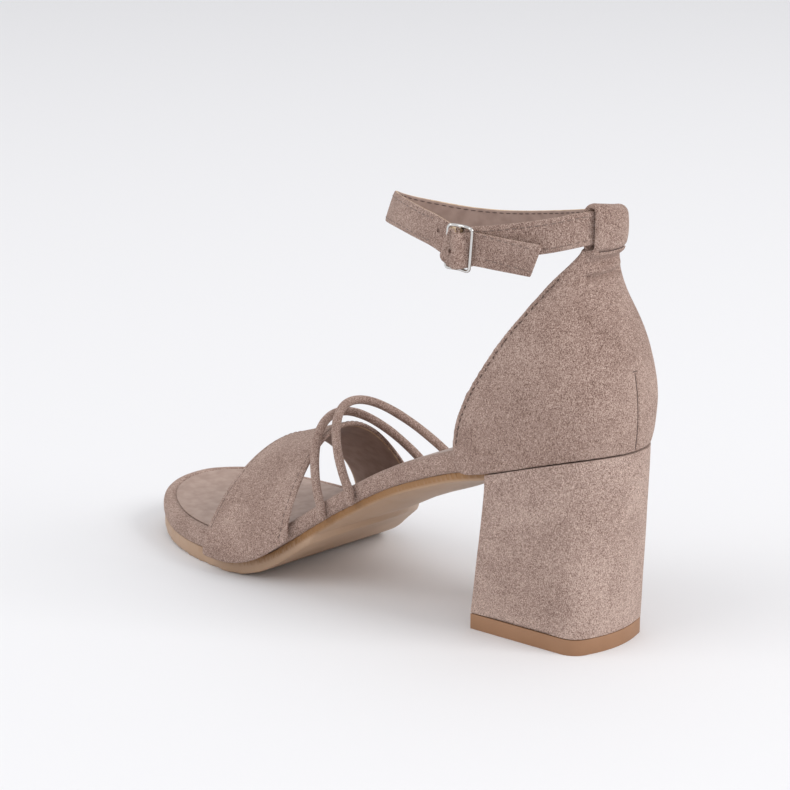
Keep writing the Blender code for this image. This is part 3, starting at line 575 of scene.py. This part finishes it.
press(counter, back_seam, 0.45 * MM, 0.50 * MM)
press(counter, seam_head, 0.30 * MM, 0.45 * MM)
puff_tab()
for line, (_, _, _, depth, width) in zip(folds, TAB_FOLDS):
    press(counter, line, depth * MM, width * MM)
knead(counter, 14.0 * MM, 0.22 * MM)
knead(counter, 4.5 * MM, 0.06 * MM)

# %% Line the counter and sew its topline
CUP_MIDDLE = np.array([0.0, -6.0 * MM])
TAB_START = 132.0 * MM
COUNTER_INSIDE = -0.45
EDGE_ENDS = -0.05


def counter_faces(centres, facing):
    """0 is suede, 1 is lining and 2 is the cut edge between them."""
    outward = centres[:, :2] - CUP_MIDDLE
    outward /= np.linalg.norm(outward, axis=1)[:, None]
    looks_out = np.sum(facing[:, :2] * outward, axis=1)
    tab = centres[:, 2] > TAB_START
    return np.select([tab, looks_out < COUNTER_INSIDE, looks_out < EDGE_ENDS], [0, 1, 2], 0)


dress(counter, [SUEDE, LINING, CUT_EDGE], counter_faces)
hand_over(counter, "suede_upper", "heel_counter")
sew("counter_topline_stitches", TOPLINES, counter, DARK_THREAD_AND_SHADE)

# %% Lay a thread in each seam of the back
BACK_THREAD = 0.16 * MM


def lay_thread(name, line):
    """Lay a thread along a line, half sunk in the leather."""
    curve = bpy.data.curves.new(name, "CURVE")
    curve.dimensions = "3D"
    curve.bevel_depth = BACK_THREAD
    curve.bevel_resolution = 1
    curve.use_fill_caps = True
    path = curve.splines.new("POLY")
    path.points.add(len(line) - 1)
    for point, place in zip(path.points, line):
        point.co = (*place, 1.0)
    thread = bpy.data.objects.new(name, curve)
    bpy.context.scene.collection.objects.link(thread)
    pick(thread)
    bpy.ops.object.convert(target="MESH")
    thread.data.materials.append(DARK_THREAD_AND_SHADE)
    bpy.ops.object.shade_smooth()
    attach(thread, "root")
    print(name, len(thread.data.polygons), "faces")


lay_thread("back_seam_thread", [on_back(0.0, z * MM) for z in np.arange(71.5, 98.5, 1.0)])
lay_thread("seam_head_thread", across_back(98.2, 1.2, count=5))
lay_thread("tab_seam_thread", across_back(138.0, 6.5))

# %% [markdown]
# ## The ankle strap
#
# The strap is one belt of suede on lining. It starts on the buckle's bar, passes through the
# tab, goes round the ankle and comes back through the buckle. Its middle line is given by the
# places that it passes, so that stitches and holes can be set out along it.

# %% Set out the strap's middle line
STRAP_WIDTH = 11.4 * MM
STRAP_THICKNESS = 1.6 * MM
STRAP_ROUTE = [
    # x, y and z in millimetres, and how far the lower edge leans out
    (0.0, 16.1, 145.4, 0.00), (9.0, 14.3, 146.0, 0.00), (13.9, 11.2, 145.1, 0.00),
    (19.3, 3.9, 143.1, 0.00), (26.0, -13.7, 139.8, 0.00), (28.6, -24.0, 139.0, 0.00),
    (29.0, -29.8, 140.7, 0.00), (28.7, -35.5, 141.8, 0.00), (27.6, -42.7, 142.3, 0.00),
    (22.7, -57.9, 144.0, 0.10), (12.3, -72.1, 143.1, 0.33), (-0.6, -79.4, 139.4, 0.27),
    (-12.6, -74.0, 135.9, 0.10), (-21.6, -62.9, 133.7, 0.04), (-26.3, -47.7, 133.8, 0.00),
    (-27.2, -27.7, 136.3, 0.00), (-24.0, -9.5, 139.5, 0.00), (-18.2, 3.9, 142.0, 0.00),
    (-13.7, 11.2, 143.3, 0.00), (-9.0, 14.3, 144.1, 0.00),
]


def smooth_loop(route, per_span):
    """Smooth closed line through the places of a route."""
    made = []
    for i in range(len(route)):
        a, b, c, d = (np.array(route[(i + k) % len(route)]) for k in (-1, 0, 1, 2))
        for t in np.arange(per_span) / per_span:
            made.append(0.5 * (2 * b + (c - a) * t + (2 * a - 5 * b + 4 * c - d) * t ** 2
                               + (3 * b - a - 3 * c + d) * t ** 3))
    return np.array(made)


LOOP = smooth_loop(STRAP_ROUTE, 20)
LOOP[:, :3] *= MM
LOOP = np.vstack([LOOP, LOOP[:1]])
LOOP_REACH = np.concatenate([[0.0], np.cumsum(np.linalg.norm(np.diff(LOOP[:, :3], axis=0), axis=1))])
BUCKLE_SHARE = 0.217
BUCKLE_REACH = BUCKLE_SHARE * LOOP_REACH[-1]
print("ankle strap loop:", round(LOOP_REACH[-1] / MM, 1), "mm round")


def on_loop(distance):
    """Place and lean of the strap's middle line at a distance along it."""
    distance = distance % LOOP_REACH[-1]
    return np.array([np.interp(distance, LOOP_REACH, LOOP[:, k]) for k in range(4)])


def beside_loop(distance, outward, height):
    """Point beside the strap's middle line, outward from the ankle and up its width."""
    here = on_loop(distance)
    step = on_loop(distance + STRAP_THICKNESS) - on_loop(distance - STRAP_THICKNESS)
    along = Vector(step[:3]).normalized()
    out = Vector((0.0, 0.0, 1.0)).cross(along).normalized()
    up = (along.cross(out) - out * here[3]).normalized()
    return Vector(here[:3]) + out * outward + up * height, out


def around_loop(points):
    """For every point: the distance along the loop, how far out it is, and the outward direction."""
    middle = LOOP[:-1, :3]
    nearest = np.array([int(np.argmin(np.sum((middle - point) ** 2, axis=1))) for point in points])
    out = np.cross((0.0, 0.0, 1.0), np.gradient(LOOP[:, :3], axis=0)[nearest])
    out /= np.linalg.norm(out, axis=1)[:, None]
    return LOOP_REACH[nearest], np.sum((points - middle[nearest]) * out, axis=1), out


# %% [markdown]
# Inside the buckle the strap's outer layer humps over the bar. The hump is filled out to the
# frame: the layer's present height is found along the strap, and what is missing is added.

# %% Smooth the strap and fill out its hump
HUMP_TOP = 0.8 * MM
HUMP_REACHES = (4.6 * MM, 4.9 * MM)
HUMP_BASE = 2.9 * MM
HUMP_HEIGHT = 3.9 * MM
HUMP_SQUARE = 0.55
HUMP_DROP = 0.5 * MM
HUMP_SPREAD = 0.10
HUMP_LEVEL = 141.8 * MM
HUMP_STEP = 0.5 * MM
HUMP_ENDS = 0.01
UPPER_LAYER = 1.5 * MM
strap = soft_copy("ankle_strap", "ankle_strap_belt")
subdivide(strap, 2)
shaped = points_of(strap)
along, off, out = around_loop(shaped)
ahead = along - BUCKLE_REACH
upper = off > UPPER_LAYER
places = np.arange(-10.0, 12.0, 0.5) * MM
tops = [off[upper & (abs(ahead - place) < HUMP_STEP)].max(initial=HUMP_BASE) for place in places]
from_top = ahead - HUMP_TOP
hump = np.cos(np.clip(from_top / np.where(from_top < 0.0, *HUMP_REACHES), -1.0, 1.0) * math.pi / 2.0)
missing = HUMP_BASE + HUMP_HEIGHT * hump ** HUMP_SQUARE - np.interp(ahead, places, tops)
shaped += out * np.where(upper & (hump > HUMP_ENDS), np.maximum(missing, 0.0), 0.0)[:, None]
spread = HUMP_SPREAD * (shaped[:, 2] - HUMP_LEVEL) - HUMP_DROP
shaped[:, 2] += np.where(upper, spread * hump, 0.0)
move_to(strap, shaped)
print("hump:", round(off[upper].max() / MM, 1), "mm out before it is filled")

# %% [markdown]
# Two punched holes show, one where the strap humps over the buckle's bar and one on the strap
# in front. Each is cut by a round cutter that stands across the strap.

# %% Punch the holes
HOLE_RADIUS = 0.75 * MM
HOLE_DEPTH = 3.0 * MM
HOLES = [
    # ahead of the bar, off the strap's middle line and height, in millimetres
    (1.6, 6.6, -2.2), (9.9, 1.2, 0.8),
]
for forward, outward, height in HOLES:
    centre, out = beside_loop(BUCKLE_REACH + forward * MM, outward * MM, height * MM)
    turn = out.to_track_quat("Z", "Y").to_euler()
    bpy.ops.mesh.primitive_cylinder_add(vertices=20, radius=HOLE_RADIUS, depth=HOLE_DEPTH,
                                        location=centre, rotation=turn)
    cutter = bpy.context.object
    modify(strap, "BOOLEAN", operation="DIFFERENCE", solver="EXACT", object=cutter)
    bpy.data.objects.remove(cutter)
print("holes:", len(HOLES))

# %% Line the strap
STRAP_INSIDE = -0.70


def strap_faces(centres, facing):
    """0 is suede outside, 1 is lining inside and 2 is the cut edge."""
    _, _, out = around_loop(centres)
    looks_out = np.sum(facing * out, axis=1)
    return np.select([looks_out < STRAP_INSIDE, looks_out < EDGE_ENDS], [1, 2], 0)


dress(strap, [SUEDE, LINING, CUT_EDGE], strap_faces)
hand_over(strap, "suede_upper", "ankle_strap")

# %% Lay out the strap's stitch rows
ROW_INSET = 1.7 * MM
LINING_INSET = 1.1 * MM
ROW_HEIGHT = STRAP_WIDTH / 2.0 - ROW_INSET
LINING_HEIGHT = STRAP_WIDTH / 2.0 - LINING_INSET
TAB_COVERS = 9.5 * MM
LOOP_STEPS = np.linspace(TAB_COVERS, LOOP_REACH[-1] - TAB_COVERS, 120)
TAIL_START = 4.5 * MM
TAIL_LENGTH = 26.5 * MM
TAIL_DROP = 7.0 * MM
TAIL_LIFT = 3.2 * MM


def loop_row(outward, height):
    """A stitch row round the ankle."""
    return [beside_loop(distance, outward, height)[0] for distance in LOOP_STEPS]


def tail_row(height):
    """A stitch row on the strap's free end, which hangs away behind the buckle."""
    row = []
    for share in np.linspace(0.15, 0.97, 12):
        back = TAIL_START + (TAIL_LENGTH - TAIL_START) * share
        outward = STRAP_THICKNESS * 1.5 + TAIL_LIFT * share ** 2
        row.append(beside_loop(BUCKLE_REACH - back, outward, height - TAIL_DROP * share)[0])
    return row


suede_rows = [loop_row(STRAP_THICKNESS / 2.0, height) for height in (ROW_HEIGHT, -ROW_HEIGHT)]
suede_rows += [tail_row(height) for height in (ROW_HEIGHT, -ROW_HEIGHT)]
lining_rows = [loop_row(-STRAP_THICKNESS / 2.0, height) for height in (LINING_HEIGHT, -LINING_HEIGHT)]
sew("ankle_strap_stitches", suede_rows, strap, THREAD)
# The lining rows use the dark thread: partly the thread's own colour, partly painted shade of the
# scalloped row under the strap's top edge.
sew("ankle_lining_stitches", lining_rows, strap, DARK_THREAD_AND_SHADE)

# %% [markdown]
# ## The buckle
#
# The buckle is a bowed frame of polished wire. It is rounded by subdivision, and then filled
# out a little, because subdivision shrinks it.

# %% Polish the buckle
WIRE_GAIN = 0.08 * MM
buckle = soft_copy("buckle", "buckle_frame")
subdivide(buckle, 1)
push(buckle, np.full(len(buckle.data.vertices), WIRE_GAIN))
dress(buckle, [NICKEL], all_alike)
hand_over(buckle, "buckle_metal", "buckle")

# %% [markdown]
# ## The straps over the foot
#
# Two round straps are suede rolled over a soft core. The vamp band is a broad piece of suede
# on lining, with its edges folded and stitched down.

# %% Round the two instep straps
for node in ("instep_strap_rear", "instep_strap_front"):
    cord = soft_copy(node, node + "_roll")
    subdivide(cord, 2)
    knead(cord, 7.0 * MM, 0.10 * MM)
    dress(cord, [SUEDE], all_alike)
    hand_over(cord, "suede_upper", node)

# %% [markdown]
# The band's suede is turned over both edges. Inside, a thin line of cut leather shows where the
# suede ends, and then the lining starts.

# %% Line the vamp band
band = soft_copy("vamp_band", "vamp_band_leather")
subdivide(band, 3)
knead(band, 16.0 * MM, 0.20 * MM)
FOOT_MIDDLE = 12.0 * MM
TURNED_EDGE = 1.0 * MM
CUT_LINE = 0.7 * MM
BAND_INSIDE = -0.2
SECTORS = 90


def band_edges(points, turns):
    """How far each point is from the nearer edge of the band, measured along the foot."""
    sector = np.digitize(turns, np.linspace(turns.min(), turns.max(), SECTORS)) - 1
    rear = np.full(SECTORS, np.nan)
    front = np.full(SECTORS, np.nan)
    for k in np.unique(sector):
        rear[k] = points[sector == k, 1].max()
        front[k] = points[sector == k, 1].min()
    return np.minimum(rear[sector] - points[:, 1], points[:, 1] - front[sector])


def band_faces(centres, facing):
    """0 is suede, turned over the edge, 1 is lining inside and 2 is its cut edge."""
    outward = np.stack([centres[:, 0], centres[:, 2] - FOOT_MIDDLE], axis=1)
    inset = band_edges(centres, np.arctan2(outward[:, 1], outward[:, 0]))
    outward /= np.linalg.norm(outward, axis=1)[:, None]
    looks_in = facing[:, 0] * outward[:, 0] + facing[:, 2] * outward[:, 1] < BAND_INSIDE
    lined = looks_in & (inset > TURNED_EDGE + CUT_LINE)
    return np.select([lined, looks_in & (inset > TURNED_EDGE)], [1, 2], 0)


dress(band, [SUEDE, LINING, CUT_EDGE], band_faces)
hand_over(band, "suede_upper", "vamp_band")

# %% Sew the vamp band's two edges
BAND_INSET = 2.0 * MM
BAND_OUTSIDE = 3.0 * MM


def band_row(side):
    """Points just inside the band's rear (+1) or front (-1) edge, on its outer face."""
    points = points_of(band)
    turns = np.arctan2(points[:, 2] - FOOT_MIDDLE, points[:, 0])
    row = []
    for turn in np.linspace(math.radians(8.0), math.radians(172.0), 60):
        sector = points[np.abs(turns - turn) < math.radians(2.0)]
        edge = sector[(sector[:, 1] * side).argmax()]
        outward = Vector((edge[0], 0.0, edge[2] - FOOT_MIDDLE)).normalized()
        start = Vector(edge) - Vector((0.0, side * BAND_INSET, 0.0)) + outward * BAND_OUTSIDE
        _, found, _, _ = band.closest_point_on_mesh(start)
        row.append(found)
    return np.array(row)


sew("vamp_band_stitches", [band_row(1.0), band_row(-1.0)], band, THREAD)

# %% [markdown]
# ## The footbed, the sock and the soles
#
# The footbed's board is wrapped in suede, which shows as the padded rim. The sock lies in its
# recess.

# %% Wrap the footbed and lay the sock
footbed = soft_copy("footbed", "footbed_wrap")
subdivide(footbed, 2)
knead(footbed, 12.0 * MM, 0.12 * MM)
dress(footbed, [SUEDE], all_alike)
hand_over(footbed, "suede_rim", "footbed")

sock = soft_copy("insole", "insole_sock")
subdivide(sock, 2)
dress(sock, [SOCK], all_alike)
hand_over(sock, "sock_lining", "insole")

# %% [markdown]
# The sole is skinned like the counter, so its lower edges come out rounded. Then it hugs the
# wrapped footbed: every point of its upper side is raised until it meets the footbed. Only a
# narrow line right under the suede is painted darker amber, as painted shade under the footbed's
# rim. It fades out at the toe.

# %% Cast the outsole
SOLE_SKIN = 0.75 * MM
SEAT_GAP = 0.05 * MM
HUG = 1.5 * MM
AMBER_START = 2.1 * MM
AMBER_END = 2.9 * MM
AMBER_STOPS = -150.0 * MM
AMBER_FADE = 12.0 * MM
UPWARD = 0.3
DOWNWARD = -0.7


def gap_above(point):
    """How far the footbed is above a point."""
    hit, found, _, _ = footbed.ray_cast(Vector(point), Vector((0.0, 0.0, 1.0)))
    return found.z - point[2] if hit else 0.0


sole = soft_copy("outsole", "outsole_cast")
modify(sole, "REMESH", mode="VOXEL", voxel_size=SOLE_SKIN)
modify(sole, "SMOOTH", factor=0.5, iterations=10)
hugging = points_of(sole)
looking = normals_of(sole)
below_rim = np.array([(footbed.closest_point_on_mesh(Vector(point))[1] - Vector(point)).length
                      for point in hugging])
# Painted shade under the rim: full weight close under the footbed, fading out lower down and toward the
# toe.
amber = np.clip((AMBER_END - below_rim) / (AMBER_END - AMBER_START), 0.0, 1.0)
amber *= looking[:, 2] > DOWNWARD
amber *= np.clip((hugging[:, 1] - AMBER_STOPS) / AMBER_FADE, 0.0, 1.0)
for i in np.flatnonzero(looking[:, 2] > UPWARD):
    hugging[i, 2] += min(max(gap_above(hugging[i]) - SEAT_GAP, 0.0), HUG)
move_to(sole, hugging)
# The painted shade's weights are kept on the points for the outsole's material.
rim_shade_weights = sole.data.attributes.new("paint_rim_shade", "FLOAT", "POINT")
rim_shade_weights.data.foreach_set("value", amber.astype(np.float32))
dress(sole, [OUTSOLE], all_alike)
hand_over(sole, "outsole", "outsole")

# %% [markdown]
# The heel block is covered in the same suede, mixed lighter as painted light. Its top is raised a
# little, so that it meets the counter in a thin line.

# %% Cover the heel
HEEL_SEAT_GAP = 0.25 * MM
SHARP = math.radians(40.0)
heel = soft_copy("heel_block", "heel_cover")
modify(heel, "BEVEL", width=0.35 * MM, segments=2, limit_method="ANGLE", angle_limit=SHARP)
subdivide(heel, 2)
knead(heel, 18.0 * MM, 0.20 * MM)
seated = points_of(heel)
seated[:, 2] += np.where(normals_of(heel)[:, 2] > UPWARD, HEEL_SEAT_GAP, 0.0)
move_to(heel, seated)
# The heel takes the lighter suede, which is painted light.
dress(heel, [LIT_HEEL_SUEDE], all_alike)
hand_over(heel, "suede_heel", "heel_block")

# %% [markdown]
# The top piece has a smooth border. Inside it the floor face is sunk a little and filled with
# fine diamond studs that are level with the border.

# %% Set the top piece and sink its floor face
TREAD_DEPTH = 0.35 * MM
TREAD_BORDER = 0.90
lift = soft_copy("heel_lift", "heel_top_piece")
sunk = soft_copy("heel_lift", "tread_cutter")
sunk.scale = (TREAD_BORDER, TREAD_BORDER, 1.0)
low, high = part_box("heel_lift")
sunk.location.z = TREAD_DEPTH - high[2]
modify(lift, "BEVEL", width=0.5 * MM, segments=3, limit_method="ANGLE", angle_limit=SHARP)
modify(lift, "BOOLEAN", operation="DIFFERENCE", solver="EXACT", object=sunk)

# %% Fill the tread with diamond studs
STUD_BORDER = 0.85
STUD_PITCH = 1.7 * MM
STUD_SIZE = 1.3 * MM
STUD_HEIGHT = TREAD_DEPTH * 1.1
STUD_MIDDLE = TREAD_DEPTH * 0.6
bpy.ops.mesh.primitive_cone_add(vertices=4, radius1=STUD_SIZE / 2.0, radius2=STUD_SIZE * 0.36,
                                depth=STUD_HEIGHT, rotation=(math.pi, 0.0, 0.0))
stud = bpy.context.object
bpy.ops.object.transform_apply(rotation=True)
studs = [lift]
reach = int((high[1] - low[1]) / 2.0 / STUD_PITCH) + 1
places = []
for row in range(-2 * reach, 2 * reach + 1):
    for column in range(-reach, reach + 1):
        x = (column + 0.5 * (row % 2)) * STUD_PITCH
        y = row * STUD_PITCH / 2.0
        inside = Vector((x / STUD_BORDER, y / STUD_BORDER, -1.0))
        hit, _, _, _ = sunk.ray_cast(inside, Vector((0.0, 0.0, 1.0)))
        if hit:
            places.append((x, y, STUD_MIDDLE))
for place in places:
    copy = bpy.data.objects.new("stud", stud.data.copy())
    copy.data.transform(Matrix.Translation(place))
    bpy.context.scene.collection.objects.link(copy)
    studs.append(copy)
print("studs:", len(studs) - 1)
bpy.data.objects.remove(stud)
bpy.data.objects.remove(sunk)
pick(*studs)
bpy.ops.object.join()
dress(lift, [LIFT], all_alike)
hand_over(lift, "heel_lift", "heel_lift")
